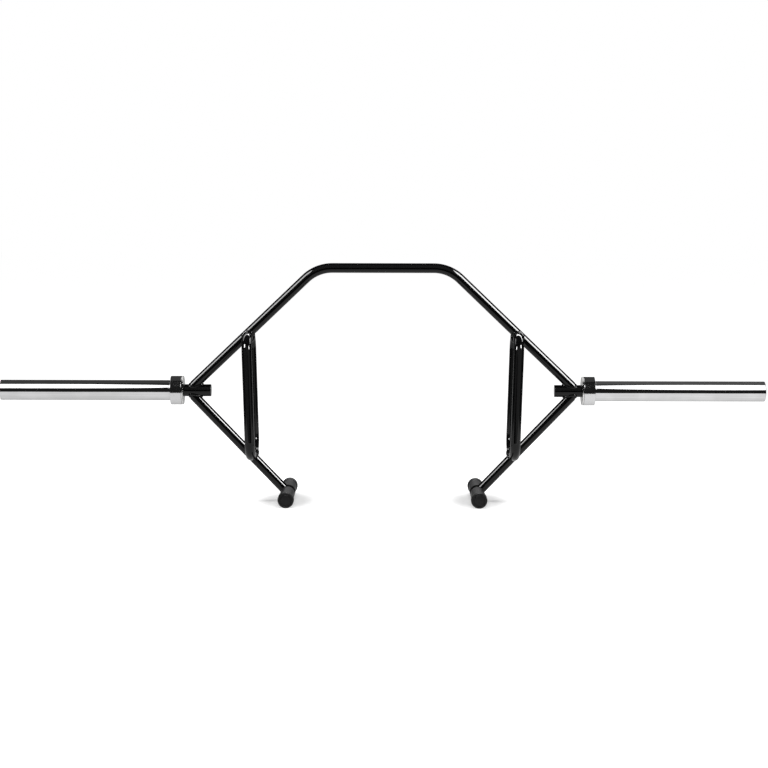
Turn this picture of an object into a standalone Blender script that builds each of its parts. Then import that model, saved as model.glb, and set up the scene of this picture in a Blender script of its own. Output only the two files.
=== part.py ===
"""Open trap bar on loading feet, with two turning sleeves.

The frame lies in the XZ plane and stands on its feet: X runs along the bar, Z is up and -Y is the front.
The origin is on the floor, below the middle of the bar. Sizes are in metres.
"""
import math

import bmesh
import bpy
from mathutils import Matrix, Vector

# Clearance between two pieces that touch
FIT = 0.0003

# Frame bar
BAR_DIAMETER = 0.024
TOP_BAR_HEIGHT = 0.582
TOP_CORNER_X = 0.1635
TOP_BEND_RADIUS = 0.095
JUNCTION_X = 0.483
FRAME_END_SETBACK = 0.0043

# Grips, each a U of round bar that stands out from the frame plane
GRIP_DIAMETER = 0.025
GRIP_OFFSET = 0.082
GRIP_BEND_RADIUS = 0.038
GRIP_TOP_X = 0.3333
GRIP_BOTTOM_X = 0.3251
GRIP_TOP_INSET = 0.006
GRIP_BOTTOM_INSET = 0.006
GRIP_MEETING_GAP = 0.0015

# Feet
FOOT_X = 0.237
FOOT_LENGTH = 0.230
FOOT_TUBE_DIAMETER = 0.032
FOOT_TUBE_WALL = 0.0025
FOOT_CAP_SPACING = 0.030
CAP_WALL = 0.0017
CAP_END_WALL = 0.008
CAP_LIP_HEIGHT = 0.002
CAP_LIP_LENGTH = 0.024
CAP_EDGE_RADIUS = 0.004
CAP_FLAT_DEPTH = 0.0004

# Spindles
SPINDLE_HEIGHT = 0.277
SPINDLE_DIAMETER = 0.030
SPINDLE_TAIL = 0.0565
SHOULDER_STEP = 0.0015
SHOULDER_DEPTH = 0.003
SPINDLE_CHAMFER = 0.001
JOURNAL_STICKOUT = 0.006

# Sleeves and what turns with them
SLEEVE_DIAMETER = 0.050
SLEEVE_WALL = 0.005
LOADABLE_LENGTH = 0.4237
SLEEVE_CHAMFER = 0.0015
COLLAR_DIAMETER = 0.071
COLLAR_LENGTH = 0.0246
COLLAR_CHAMFER = 0.001
COLLAR_STANDOFF = 0.0157
COLLAR_PLATE_THICKNESS = 0.007
COLLAR_PLATE_ROUNDING = 0.0025
COLLAR_PLATE_CLEARANCE = 0.0004
BUSHING_LENGTH = 0.040
END_CAP_RECESS = 0.0005
END_CAP_THICKNESS = 0.0035
END_CAP_SKIRT_LENGTH = 0.007
END_CAP_SKIRT_WALL = 0.002
END_CAP_DISH_RADIUS = 0.013
END_CAP_DISH_DEPTH = 0.001
END_CAP_CLEARANCE = 0.0035

# Thrust washers and retaining ring
WASHER_THICKNESS = 0.002
WASHER_EDGE_CLEARANCE = 0.001
CIRCLIP_THICKNESS = 0.0015
CIRCLIP_GROOVE_DEPTH = 0.0007
CIRCLIP_OPENING = math.radians(40)
CIRCLIP_LUG_RADIUS = 0.0024
CIRCLIP_HOLE_RADIUS = 0.001
CIRCLIP_LUG_CLEARANCE = 0.001

# Facets
BAR_SEGMENTS = 24
TOP_BEND_STEPS = 8
GRIP_BEND_STEPS = 8
LARGE_ROUND_SEGMENTS = 48
SMALL_ROUND_SEGMENTS = 32
PIN_HOLE_SEGMENTS = 12
EDGE_STEPS = 3
SHARP_ANGLE = math.radians(35)
MERGE_DISTANCE = 1e-6

# Sizes that follow from the ones above
BAR_RADIUS = BAR_DIAMETER / 2
GRIP_RADIUS = GRIP_DIAMETER / 2
SPINDLE_RADIUS = SPINDLE_DIAMETER / 2
JOURNAL_RADIUS = SPINDLE_RADIUS - SHOULDER_STEP
SLEEVE_RADIUS = SLEEVE_DIAMETER / 2
SLEEVE_BORE_RADIUS = SLEEVE_RADIUS - SLEEVE_WALL
COLLAR_RADIUS = COLLAR_DIAMETER / 2
FOOT_TUBE_RADIUS = FOOT_TUBE_DIAMETER / 2
CAP_BORE_RADIUS = FOOT_TUBE_RADIUS + FIT
CAP_BODY_RADIUS = CAP_BORE_RADIUS + CAP_WALL
CAP_LIP_RADIUS = CAP_BODY_RADIUS + CAP_LIP_HEIGHT
FOOT_HEIGHT = CAP_LIP_RADIUS - CAP_FLAT_DEPTH

# Places along the bar, as distances from its middle, from the frame outwards
FRAME_END_X = JUNCTION_X - FRAME_END_SETBACK
SPINDLE_TAIL_X = JUNCTION_X - SPINDLE_TAIL
COLLAR_PLATE_X = FRAME_END_X + COLLAR_STANDOFF
SLEEVE_START_X = COLLAR_PLATE_X + COLLAR_PLATE_THICKNESS + FIT
COLLAR_END_X = SLEEVE_START_X + COLLAR_LENGTH
SLEEVE_END_X = COLLAR_END_X + LOADABLE_LENGTH
SHOULDER_X = SLEEVE_START_X + SHOULDER_DEPTH
INNER_WASHER_X = SHOULDER_X + FIT
INNER_BUSHING_X = INNER_WASHER_X + WASHER_THICKNESS + FIT
END_CAP_X = SLEEVE_END_X - END_CAP_RECESS - END_CAP_THICKNESS
JOURNAL_END_X = END_CAP_X - END_CAP_CLEARANCE
CIRCLIP_X = JOURNAL_END_X - JOURNAL_STICKOUT - CIRCLIP_THICKNESS
OUTER_WASHER_X = CIRCLIP_X - FIT - WASHER_THICKNESS
OUTER_BUSHING_X = OUTER_WASHER_X - FIT - BUSHING_LENGTH

# Directions of the two slanted bars on the right, both from the junction
JUNCTION = Vector((JUNCTION_X, 0, SPINDLE_HEIGHT))
TOP_CORNER = Vector((TOP_CORNER_X, 0, TOP_BAR_HEIGHT))
FOOT = Vector((FOOT_X, 0, FOOT_HEIGHT))
UPPER_RUN = (TOP_CORNER - JUNCTION).normalized()
LOWER_RUN = (FOOT - JUNCTION).normalized()

# Colour, roughness and metallic value of each finish
FINISHES = {
    "gloss_black_paint": ((0.010, 0.010, 0.011), 0.10, 0.0),
    "hard_chrome": ((0.72, 0.72, 0.73), 0.12, 1.0),
    "satin_steel": ((0.74, 0.74, 0.74), 0.30, 1.0),
    "black_rubber": ((0.045, 0.045, 0.045), 0.60, 0.0),
    "sintered_bronze": ((0.52, 0.34, 0.16), 0.40, 1.0),
    "hardened_steel": ((0.30, 0.30, 0.31), 0.35, 1.0),
    "spring_steel": ((0.12, 0.12, 0.13), 0.40, 1.0),
    "black_plastic": ((0.020, 0.020, 0.020), 0.45, 0.0),
}


def clear_scene():
    """Remove every object that the file opened with."""
    for item in list(bpy.data.objects):
        bpy.data.objects.remove(item, do_unlink=True)


def finish_material(name, finish):
    """A material for one piece."""
    colour, roughness, metallic = FINISHES[finish]
    material = bpy.data.materials.new(f"{name}_{finish}")
    material.use_nodes = True
    shader = material.node_tree.nodes["Principled BSDF"]
    shader.inputs["Base Color"].default_value = (*colour, 1)
    shader.inputs["Roughness"].default_value = roughness
    shader.inputs["Metallic"].default_value = metallic
    return material


def piece(name, shape, parent, finish=None):
    """An object made from a bmesh, smooth on its round faces."""
    bmesh.ops.recalc_face_normals(shape, faces=shape.faces[:])
    mesh = bpy.data.meshes.new(name)
    shape.to_mesh(mesh)
    shape.free()
    mesh.shade_smooth()
    mesh.set_sharp_from_angle(angle=SHARP_ANGLE)
    item = bpy.data.objects.new(name, mesh)
    item.parent = parent
    bpy.context.scene.collection.objects.link(item)
    if finish:
        mesh.materials.append(finish_material(name, finish))
    return item


def guide(name, shape, parent):
    """A cutter or other helper, which isn't part of the object."""
    item = piece(name, shape, parent)
    item.hide_render = True
    item.display_type = "WIRE"
    return item


def pivot(name, turn, parent=None, height=0):
    """An empty that places what hangs on it."""
    item = bpy.data.objects.new(name, None)
    item.location = (0, 0, height)
    item.rotation_euler = (0, 0, turn)
    item.parent = parent
    bpy.context.scene.collection.objects.link(item)
    return item


def combine(item, other, operation):
    """Cut another object away from a piece, or join it on."""
    step = item.modifiers.new(f"{operation.lower()} {other.name}", "BOOLEAN")
    step.operation = operation
    step.object = other
    step.solver = "EXACT"


def turned(profile, segments, axis="X"):
    """A body turned about an axis from (along, radius) points.

    A profile that stays off the axis is closed into a ring.
    """
    shape = bmesh.new()
    corners = [shape.verts.new((along, 0, radius)) for along, radius in profile]
    edges = [shape.edges.new(pair) for pair in zip(corners, corners[1:])]
    if min(radius for _, radius in profile) > 0:
        edges.append(shape.edges.new((corners[-1], corners[0])))
    bmesh.ops.spin(shape, geom=corners + edges, cent=(0, 0, 0), axis=(1, 0, 0), angle=math.tau,
                   steps=segments, use_merge=True)
    bmesh.ops.remove_doubles(shape, verts=shape.verts[:], dist=MERGE_DISTANCE)
    if axis == "Y":
        bmesh.ops.rotate(shape, verts=shape.verts[:], cent=(0, 0, 0),
                         matrix=Matrix.Rotation(math.pi / 2, 3, "Z"))
    return shape


def round_bar(start, end, radius, segments=BAR_SEGMENTS):
    """A straight round bar between two points."""
    shape = bmesh.new()
    run = end - start
    place = Matrix.Translation((start + end) / 2) @ run.to_track_quat("Z", "Y").to_matrix().to_4x4()
    bmesh.ops.create_cone(shape, cap_ends=True, segments=segments, radius1=radius, radius2=radius,
                          depth=run.length, matrix=place)
    return shape


def bent_bar(points, bend_radius, bend_steps, radius):
    """A round bar that runs straight between points and bends in an arc at the inner ones."""
    shape = bmesh.new()
    place = points[0]
    heading = (points[1] - points[0]).normalized()
    turn = heading.to_track_quat("Z", "Y").to_matrix().to_4x4()
    bmesh.ops.create_circle(shape, cap_ends=True, segments=BAR_SEGMENTS, radius=radius,
                            matrix=Matrix.Translation(place) @ turn)
    end_face = only_face(shape.faces)
    for corner, following in zip(points[1:], points[2:]):
        next_heading = (following - corner).normalized()
        bend = heading.angle(next_heading)
        setback = bend_radius * math.tan(bend / 2)
        arc_start = corner - heading * setback
        end_face = extruded(shape, end_face, arc_start - place)
        axis = heading.cross(next_heading).normalized()
        centre = arc_start + axis.cross(heading) * bend_radius
        swept = bmesh.ops.spin(shape, geom=[end_face, *end_face.edges], cent=centre, axis=axis,
                               angle=bend, steps=bend_steps)
        end_face = only_face(swept["geom_last"])
        place = corner + next_heading * setback
        heading = next_heading
    extruded(shape, end_face, points[-1] - place)
    return shape


def extruded(shape, end_face, offset):
    """Push an end face on, and return the new end face."""
    grown = bmesh.ops.extrude_face_region(shape, geom=[end_face, *end_face.edges])["geom"]
    corners = [part for part in grown if isinstance(part, bmesh.types.BMVert)]
    bmesh.ops.translate(shape, verts=corners, vec=offset)
    return only_face(grown)


def only_face(parts):
    """The one face among the results of an operator."""
    return next(part for part in parts if isinstance(part, bmesh.types.BMFace))


def trimmed(shape, point, outward):
    """Cut away what lies past a plane, and close the cut."""
    everything = shape.verts[:] + shape.edges[:] + shape.faces[:]
    cut = bmesh.ops.bisect_plane(shape, geom=everything, plane_co=point, plane_no=outward,
                                 clear_outer=True)
    rim = [part for part in cut["geom_cut"] if isinstance(part, bmesh.types.BMEdge)]
    bmesh.ops.holes_fill(shape, edges=rim)
    return shape


def mirrored(point):
    """The same point on the left of the frame."""
    return Vector((-point.x, point.y, point.z))


def ring_profile(start, end, inner, outer, chamfer):
    """The section of a plain ring, with its outer edges chamfered."""
    return [(start, inner), (start, outer - chamfer), (start + chamfer, outer),
            (end - chamfer, outer), (end, outer - chamfer), (end, inner)]


def plain_ring(start, end, inner, outer):
    """The section of a ring with square edges."""
    return [(start, inner), (start, outer), (end, outer), (end, inner)]


def rounded_edge(end, outer, radius, way=1):
    """A quarter round on a turned profile, from its side to the end face that looks along +X or, at -1, -X."""
    angles = [math.pi / 2 * (1 - step / EDGE_STEPS) for step in range(EDGE_STEPS + 1)]
    return [(end - way * radius * (1 - math.cos(angle)), outer - radius * (1 - math.sin(angle)))
            for angle in angles]


def build_main_hoop(parent, seats):
    """The bent bar that joins the two spindles."""
    outline = [mirrored(JUNCTION), mirrored(TOP_CORNER), TOP_CORNER, JUNCTION]
    shape = bent_bar(outline, TOP_BEND_RADIUS, TOP_BEND_STEPS, BAR_RADIUS)
    for side in (-1, 1):
        trimmed(shape, (side * FRAME_END_X, 0, 0), (side, 0, 0))
    hoop = piece("main_hoop", shape, parent, "gloss_black_paint")
    for seat in seats:
        combine(hoop, seat, "DIFFERENCE")


def build_arm(side, parent, spindle_seat):
    """The straight bar from a spindle down to its foot."""
    shape = trimmed(round_bar(JUNCTION, FOOT, BAR_RADIUS), (FRAME_END_X, 0, 0), (1, 0, 0))
    arm = piece(f"{side}_arm", shape, parent, "gloss_black_paint")
    reach = Vector((0, FOOT_CAP_SPACING, 0))
    foot_seat = guide(f"{side}_foot_seat", round_bar(FOOT - reach, FOOT + reach, FOOT_TUBE_RADIUS + FIT,
                                                     SMALL_ROUND_SEGMENTS), parent)
    combine(arm, spindle_seat, "DIFFERENCE")
    combine(arm, foot_seat, "DIFFERENCE")


def grip_corner(x, run, inset):
    """Where a grip's leg crosses the frame plane, set in from the axis of the bar that carries it."""
    on_axis = JUNCTION + run * ((x - JUNCTION_X) / run.x)
    towards_middle = -math.copysign(1, run.z)
    return on_axis + Vector((0, 0, towards_middle * inset / abs(run.x)))


def build_grip(name, face, parent, bar_seats):
    """One U-bent grip, on the front (-1) or the rear (1) of the frame."""
    top = grip_corner(GRIP_TOP_X, UPPER_RUN, GRIP_TOP_INSET)
    bottom = grip_corner(GRIP_BOTTOM_X, LOWER_RUN, GRIP_BOTTOM_INSET)
    root = Vector((0, face * GRIP_MEETING_GAP, 0))
    reach = Vector((0, face * GRIP_OFFSET, 0))
    outline = [top + root, top + reach, bottom + reach, bottom + root]
    shape = bent_bar(outline, GRIP_BEND_RADIUS, GRIP_BEND_STEPS, GRIP_RADIUS)
    grip = piece(name, shape, parent, "gloss_black_paint")
    for seat in bar_seats:
        combine(grip, seat, "DIFFERENCE")


def build_foot(side, turn, parent):
    """The cross tube under an arm and its two rubber caps."""
    place = Matrix.Translation(FOOT)
    half_length = FOOT_LENGTH / 2
    tube_half = half_length - CAP_END_WALL - FIT
    section = plain_ring(-tube_half, tube_half, FOOT_TUBE_RADIUS - FOOT_TUBE_WALL, FOOT_TUBE_RADIUS)
    tube = turned(section, SMALL_ROUND_SEGMENTS, "Y")
    tube.transform(place)
    piece(f"{side}_foot_tube", tube, parent, "gloss_black_paint")

    inner_end = FOOT_CAP_SPACING / 2
    lip_start = half_length - CAP_LIP_LENGTH
    section = [(half_length - CAP_END_WALL, 0), (half_length - CAP_END_WALL, CAP_BORE_RADIUS),
               (inner_end, CAP_BORE_RADIUS), (inner_end, CAP_BODY_RADIUS), (lip_start, CAP_BODY_RADIUS),
               (lip_start + CAP_LIP_HEIGHT / 2, CAP_LIP_RADIUS)]
    section += rounded_edge(half_length, CAP_LIP_RADIUS, CAP_EDGE_RADIUS)
    section.append((half_length, 0))
    for face in (-1, 1):
        cap = turned(section, SMALL_ROUND_SEGMENTS, "Y")
        if face < 0:
            bmesh.ops.rotate(cap, verts=cap.verts[:], cent=(0, 0, 0),
                             matrix=Matrix.Rotation(math.pi, 3, "Z"))
        trimmed(cap, (0, 0, CAP_FLAT_DEPTH - CAP_LIP_RADIUS), (0, 0, -1))
        cap.transform(place)
        piece(f"{side}_{facing(face, turn)}_foot_cap", cap, parent, "black_rubber")


def facing(face, turn):
    """The name of the side that a piece ends up on, once its side of the bar is turned into place."""
    return "front" if face * math.cos(turn) < 0 else "rear"


def build_spindle(side, parent):
    """The turned shaft: stub, shoulder, journal and retaining groove."""
    groove_radius = JOURNAL_RADIUS - CIRCLIP_GROOVE_DEPTH
    groove_start = CIRCLIP_X - FIT
    groove_end = CIRCLIP_X + CIRCLIP_THICKNESS + FIT
    section = [(SPINDLE_TAIL_X, 0), (SPINDLE_TAIL_X, SPINDLE_RADIUS - SPINDLE_CHAMFER),
               (SPINDLE_TAIL_X + SPINDLE_CHAMFER, SPINDLE_RADIUS), (SHOULDER_X, SPINDLE_RADIUS),
               (SHOULDER_X, JOURNAL_RADIUS), (groove_start, JOURNAL_RADIUS), (groove_start, groove_radius),
               (groove_end, groove_radius), (groove_end, JOURNAL_RADIUS),
               (JOURNAL_END_X - SPINDLE_CHAMFER, JOURNAL_RADIUS),
               (JOURNAL_END_X, JOURNAL_RADIUS - SPINDLE_CHAMFER), (JOURNAL_END_X, 0)]
    piece(f"{side}_spindle", turned(section, SMALL_ROUND_SEGMENTS), parent, "gloss_black_paint")


def build_washers(side, parent):
    """The two thrust washers, which stay with the spindle."""
    inner = JOURNAL_RADIUS + FIT
    outer = SLEEVE_BORE_RADIUS - WASHER_EDGE_CLEARANCE
    for name, start in (("inner", INNER_WASHER_X), ("outer", OUTER_WASHER_X)):
        section = plain_ring(start, start + WASHER_THICKNESS, inner, outer)
        piece(f"{side}_{name}_washer", turned(section, SMALL_ROUND_SEGMENTS), parent, "hardened_steel")


def build_circlip(side, parent):
    """The open retaining ring, with a drilled lug at each end."""
    inner = JOURNAL_RADIUS - CIRCLIP_GROOVE_DEPTH + FIT
    outer = (JOURNAL_RADIUS + SLEEVE_BORE_RADIUS) / 2
    end = CIRCLIP_X + CIRCLIP_THICKNESS
    shape = bmesh.new()
    section = [shape.verts.new((along, 0, radius))
               for along, radius in plain_ring(CIRCLIP_X, end, inner, outer)]
    bmesh.ops.rotate(shape, verts=section, cent=(0, 0, 0),
                     matrix=Matrix.Rotation(CIRCLIP_OPENING / 2, 3, "X"))
    start_face = shape.faces.new(section)
    bmesh.ops.spin(shape, geom=[start_face, *start_face.edges], cent=(0, 0, 0), axis=(1, 0, 0),
                   angle=math.tau - CIRCLIP_OPENING, steps=SMALL_ROUND_SEGMENTS)
    ring = piece(f"{side}_circlip", shape, parent, "spring_steel")

    lug_reach = SLEEVE_BORE_RADIUS - CIRCLIP_LUG_CLEARANCE - CIRCLIP_LUG_RADIUS
    for number, angle in enumerate((CIRCLIP_OPENING / 2, -CIRCLIP_OPENING / 2)):
        centre = Matrix.Rotation(angle, 3, "X") @ Vector((0, 0, lug_reach))
        start = centre + Vector((CIRCLIP_X, 0, 0))
        stop = centre + Vector((end, 0, 0))
        lug = guide(f"{side}_circlip_lug_{number}", round_bar(start, stop, CIRCLIP_LUG_RADIUS), parent)
        past = Vector((CIRCLIP_THICKNESS, 0, 0))
        hole = guide(f"{side}_circlip_hole_{number}",
                     round_bar(start - past, stop + past, CIRCLIP_HOLE_RADIUS, PIN_HOLE_SEGMENTS), parent)
        combine(ring, lug, "UNION")
        combine(ring, hole, "DIFFERENCE")


def build_sleeve(side, parent):
    """The plate sleeve with its collar, collar plate, bushings and end cap, all about the spindle axis."""
    section = ring_profile(SLEEVE_START_X, SLEEVE_END_X, SLEEVE_BORE_RADIUS, SLEEVE_RADIUS, SLEEVE_CHAMFER)
    piece(f"{side}_sleeve", turned(section, LARGE_ROUND_SEGMENTS), parent, "hard_chrome")

    section = ring_profile(SLEEVE_START_X, COLLAR_END_X, SLEEVE_RADIUS + FIT, COLLAR_RADIUS, COLLAR_CHAMFER)
    piece(f"{side}_collar", turned(section, LARGE_ROUND_SEGMENTS), parent, "hard_chrome")

    bore = SPINDLE_RADIUS + COLLAR_PLATE_CLEARANCE
    plate_end = COLLAR_PLATE_X + COLLAR_PLATE_THICKNESS
    rounding = rounded_edge(COLLAR_PLATE_X, COLLAR_RADIUS, COLLAR_PLATE_ROUNDING, -1)
    section = [(COLLAR_PLATE_X, bore), *reversed(rounding), (plate_end - COLLAR_CHAMFER, COLLAR_RADIUS),
               (plate_end, COLLAR_RADIUS - COLLAR_CHAMFER), (plate_end, bore)]
    piece(f"{side}_collar_plate", turned(section, LARGE_ROUND_SEGMENTS), parent, "satin_steel")

    for name, start in (("inner", INNER_BUSHING_X), ("outer", OUTER_BUSHING_X)):
        section = plain_ring(start, start + BUSHING_LENGTH, JOURNAL_RADIUS + FIT, SLEEVE_BORE_RADIUS - FIT)
        piece(f"{side}_{name}_bushing", turned(section, SMALL_ROUND_SEGMENTS), parent, "sintered_bronze")

    outer = SLEEVE_BORE_RADIUS - FIT
    face = END_CAP_X + END_CAP_THICKNESS
    section = [(face - END_CAP_DISH_DEPTH, 0), (face - END_CAP_DISH_DEPTH, END_CAP_DISH_RADIUS),
               (face, END_CAP_DISH_RADIUS + END_CAP_DISH_DEPTH), (face, outer),
               (END_CAP_X - END_CAP_SKIRT_LENGTH, outer),
               (END_CAP_X - END_CAP_SKIRT_LENGTH, outer - END_CAP_SKIRT_WALL),
               (END_CAP_X, outer - END_CAP_SKIRT_WALL), (END_CAP_X, 0)]
    piece(f"{side}_end_cap", turned(section, SMALL_ROUND_SEGMENTS), parent, "black_plastic")


def build_side(side, turn, frame):
    """Everything on one side of the frame, modelled on the right and turned into place."""
    half = pivot(f"{side}_half", turn, frame)
    spindle_axis = pivot(f"{side}_spindle_axis", turn, frame, SPINDLE_HEIGHT)
    sleeve_axis = pivot(f"{side}_sleeve_axis", turn, frame, SPINDLE_HEIGHT)

    seat_start = Vector((SPINDLE_TAIL_X, 0, SPINDLE_HEIGHT))
    seat_end = Vector((COLLAR_PLATE_X, 0, SPINDLE_HEIGHT))
    spindle_seat = guide(f"{side}_spindle_seat",
                         round_bar(seat_start, seat_end, SPINDLE_RADIUS + FIT, SMALL_ROUND_SEGMENTS), half)
    upper_seat = guide(f"{side}_upper_bar_seat", round_bar(JUNCTION, TOP_CORNER, BAR_RADIUS + FIT), half)
    lower_seat = guide(f"{side}_lower_bar_seat", round_bar(JUNCTION, FOOT, BAR_RADIUS + FIT), half)

    build_arm(side, half, spindle_seat)
    build_foot(side, turn, half)
    for face in (-1, 1):
        build_grip(f"{side}_{facing(face, turn)}_grip", face, half, (upper_seat, lower_seat))
    build_spindle(side, spindle_axis)
    build_washers(side, spindle_axis)
    build_circlip(side, spindle_axis)
    build_sleeve(side, sleeve_axis)
    return spindle_seat


def main():
    clear_scene()
    frame = pivot("frame", 0)
    seats = [build_side(side, turn, frame) for side, turn in (("left", math.pi), ("right", 0))]
    build_main_hoop(frame, seats)


main()
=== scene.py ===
"""Open trap bar with turning sleeves, finished piece by piece over its packed model, in a white photo studio.

Run as a script it makes the whole scene. X runs along the bar, Z is up, -Y is the front, and sizes are in
metres. Each piece is modelled on the right and turned half round the middle of the bar for the left.
"""

import math

import bmesh
import bpy
from bpy.props import FloatProperty, FloatVectorProperty, PointerProperty
from bpy.types import Operator, Panel, PropertyGroup
from mathutils import Matrix, Vector


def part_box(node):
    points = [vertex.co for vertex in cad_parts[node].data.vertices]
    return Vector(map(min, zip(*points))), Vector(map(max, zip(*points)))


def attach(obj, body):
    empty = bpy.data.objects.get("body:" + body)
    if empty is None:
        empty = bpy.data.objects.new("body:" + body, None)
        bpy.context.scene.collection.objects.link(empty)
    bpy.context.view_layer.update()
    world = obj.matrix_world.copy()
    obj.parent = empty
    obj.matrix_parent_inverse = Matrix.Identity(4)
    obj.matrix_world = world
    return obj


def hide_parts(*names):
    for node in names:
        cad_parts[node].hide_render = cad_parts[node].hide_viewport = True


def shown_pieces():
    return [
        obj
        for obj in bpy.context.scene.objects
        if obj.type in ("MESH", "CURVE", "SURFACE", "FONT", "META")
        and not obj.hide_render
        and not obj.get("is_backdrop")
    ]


bl_info = {
    "name": "Trap Bar",
    "version": (1, 0, 0),
    "blender": (4, 5, 0),
    "location": "View3D > Sidebar > Trap Bar",
    "description": "Makes an open trap bar with grips, feet and turning sleeves, and its studio",
    "category": "Object",
}

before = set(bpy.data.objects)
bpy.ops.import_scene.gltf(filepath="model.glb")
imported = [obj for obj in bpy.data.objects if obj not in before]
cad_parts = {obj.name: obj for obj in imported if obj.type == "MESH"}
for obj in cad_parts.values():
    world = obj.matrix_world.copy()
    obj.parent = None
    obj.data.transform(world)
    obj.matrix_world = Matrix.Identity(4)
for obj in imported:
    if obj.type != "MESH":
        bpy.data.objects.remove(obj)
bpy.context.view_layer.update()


def node_centre(node):
    """The middle of a node of the packed model."""
    low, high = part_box(node)
    return (low + high) / 2


def node_size(node):
    """The length, depth and height of a node of the packed model."""
    low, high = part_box(node)
    return high - low


# Turns that place a piece modelled on the right, one for each side of the bar
SIDES = {"left": Matrix.Rotation(math.pi, 4, "Z"), "right": Matrix.Identity(4)}

# Sizes read from the packed model, all on the right
SPINDLE_AXIS = Vector((0, 0, node_centre("right_spindle").z))
SPINDLE_START, SPINDLE_END = (corner.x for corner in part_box("right_spindle"))
SPINDLE_RADIUS = node_size("right_spindle").z / 2
BAR_RADIUS = node_size("main_hoop").y / 2
FRAME_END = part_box("main_hoop")[1].x
TOP_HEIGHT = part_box("main_hoop")[1].z - BAR_RADIUS
FOOT = node_centre("right_foot_tube")
FOOT_TUBE_RADIUS = node_size("right_foot_tube").z / 2
FOOT_TUBE_HALF = node_size("right_foot_tube").y / 2
CAP_INNER_END, CAP_OUTER_END = (corner.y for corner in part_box("right_rear_foot_cap"))
CAP_LIP_RADIUS = node_size("right_rear_foot_cap").x / 2
SLEEVE_START, SLEEVE_END = (corner.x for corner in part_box("right_sleeve"))
SLEEVE_RADIUS = node_size("right_sleeve").z / 2
COLLAR_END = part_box("right_collar")[1].x
COLLAR_RADIUS = node_size("right_collar").z / 2
PLATE_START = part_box("right_collar_plate")[0].x
END_CAP_START, END_CAP_END = (corner.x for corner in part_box("right_end_cap"))
END_CAP_RADIUS = node_size("right_end_cap").z / 2
BUSHING_RADIUS = node_size("right_inner_bushing").z / 2
WASHER_RADIUS = node_size("right_inner_washer").z / 2

# Facets and tolerances
BAR_SEGMENTS = 48
BEAD_SEGMENTS = 12
SLEEVE_SEGMENTS = 128
SMALL_SEGMENTS = 64
BEND_STEPS = 24
ROUND_STEPS = 5
TRIM_STEPS = 3
SHARP_ANGLE = math.radians(32)
MERGE_DISTANCE = 1e-6
SLIVER_WIDTH = 1e-5
FIT = 0.0003

# How the line of a weld bead is laid out. Its radius wanders in two waves, given in radians for each point.
SEAM_POINTS = 720
POINTS_PER_RIPPLE = 6
EASING_ROUNDS = 6
UNEVEN_WAVES = (0.137, 0.043)

# Roundings of small edges, for bushings and washers those of the bore and of the outside
BUSHING_EDGES = (0.0006, 0.0008)
WASHER_EDGES = (0.0002, 0.0003)
HIDDEN_EDGE = 0.0004
MOUTH_EDGE = 0.0003
COLLAR_BORE_EDGE = 0.0006
PLATE_BORE_EDGE = 0.0008
MOULDED_EDGE = 0.0006
MOULDED_FILLET = 0.0005
SKIRT_EDGE = 0.0003

# Half the length of the slope up to a foot cap's lip, which is also the rounding at its foot, the rounding at
# its top, and the radius and the rounding of the flat in the middle of the domed end
CAP_SLOPE = 0.0008
CAP_SLOPE_TOP = 0.0012
DOME_TOP = 0.004
DOME_ROUND = 0.02

# The groove round a foot cap's end face, as depth, distance in from the lip's edge and rounding
CAP_GROOVE = ((0, 0.0055, 0.0006), (0.0010, 0.0060, 0.0005), (0.0010, 0.0068, 0.0005), (0, 0.0076, 0.0008))

# The dished face of an end cap, as depth, radius and rounding
END_CAP_DISH = ((0.0012, 0, 0), (0.0012, 0.0128, 0.0008), (0, 0.0142, 0.0006))

# The body that a sleeve's pieces ride on
SLEEVE_BODY = "{side}_sleeve_assembly"

# What differs between the lamps of the two sides, as their streaks do in the photograph: the direction along
# X, the width of the hoop's lamp, the strengths, and the elevations between which a sleeve mirrors its band
SIDE_LAMPS = {
    "left": {"way": -1, "hoop_width": 0.8, "hoop": 19, "arm": 20, "rim": 4.5, "front": 0.2, "sky": 0.045,
             "band": (math.radians(25), math.radians(77))},
    "right": {"way": 1, "hoop_width": 0.9, "hoop": 40, "arm": 52, "rim": 14, "front": 0.33, "sky": 0.09,
              "band": (math.radians(23), math.radians(85))},
}
STREAK_ROLL = math.radians(40)
BAND_DISTANCE = 1.2
BAND_MIDDLE = 1.10

# The paper: half its length, its own glow where it is white, the shape of the painted shade round the feet,
# its soft front edge, and how its mirror image is painted darker to the rear and brighter to the right
PAPER_HALF = 12
PAPER_LIFT = 0.99
SHADOW_STRETCH = 0.4
FRONT_BLUR = 0.02
PAPER_REAR = (-0.2, 0.6)
REAR_PAINTED_SHADE = 0.48
PAPER_RIGHT = (-0.4, 0.8)
RIGHT_PAINTED_LIGHT = 0.13
LEFT_GLOW = 0.98

# The camera's sensor in millimetres, and how far the camera sees in metres
SENSOR_WIDTH = 36
CLIP_END = 100

WHITE = (1, 1, 1, 1)


def metres(name, description, default):
    """A length that a user may change."""
    return FloatProperty(name=name, description=description, default=default, unit="LENGTH")


def rgb(name, description, default):
    """A colour that a user may change."""
    return FloatVectorProperty(name=name, description=description, default=default, subtype="COLOR",
                               min=0, max=1)


class FrameSizes(PropertyGroup):
    """Sizes of the welded frame."""
    junction_x: metres("Junction", "Where the bars' axes meet, from the middle", 0.483)
    corner_x: metres("Top corner", "Where the top of the hoop turns down", 0.1635)
    top_bend: metres("Top bend", "Bend radius of the hoop's axis", 0.095)
    grip_diameter: metres("Grip diameter", "Diameter of the grips' bar", 0.025)
    grip_bend: metres("Grip bend", "Bend radius of the grips' axis", 0.038)
    end_round: metres("Bar end rounding", "Rounding of the trimmed bar ends", 0.0015)


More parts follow.
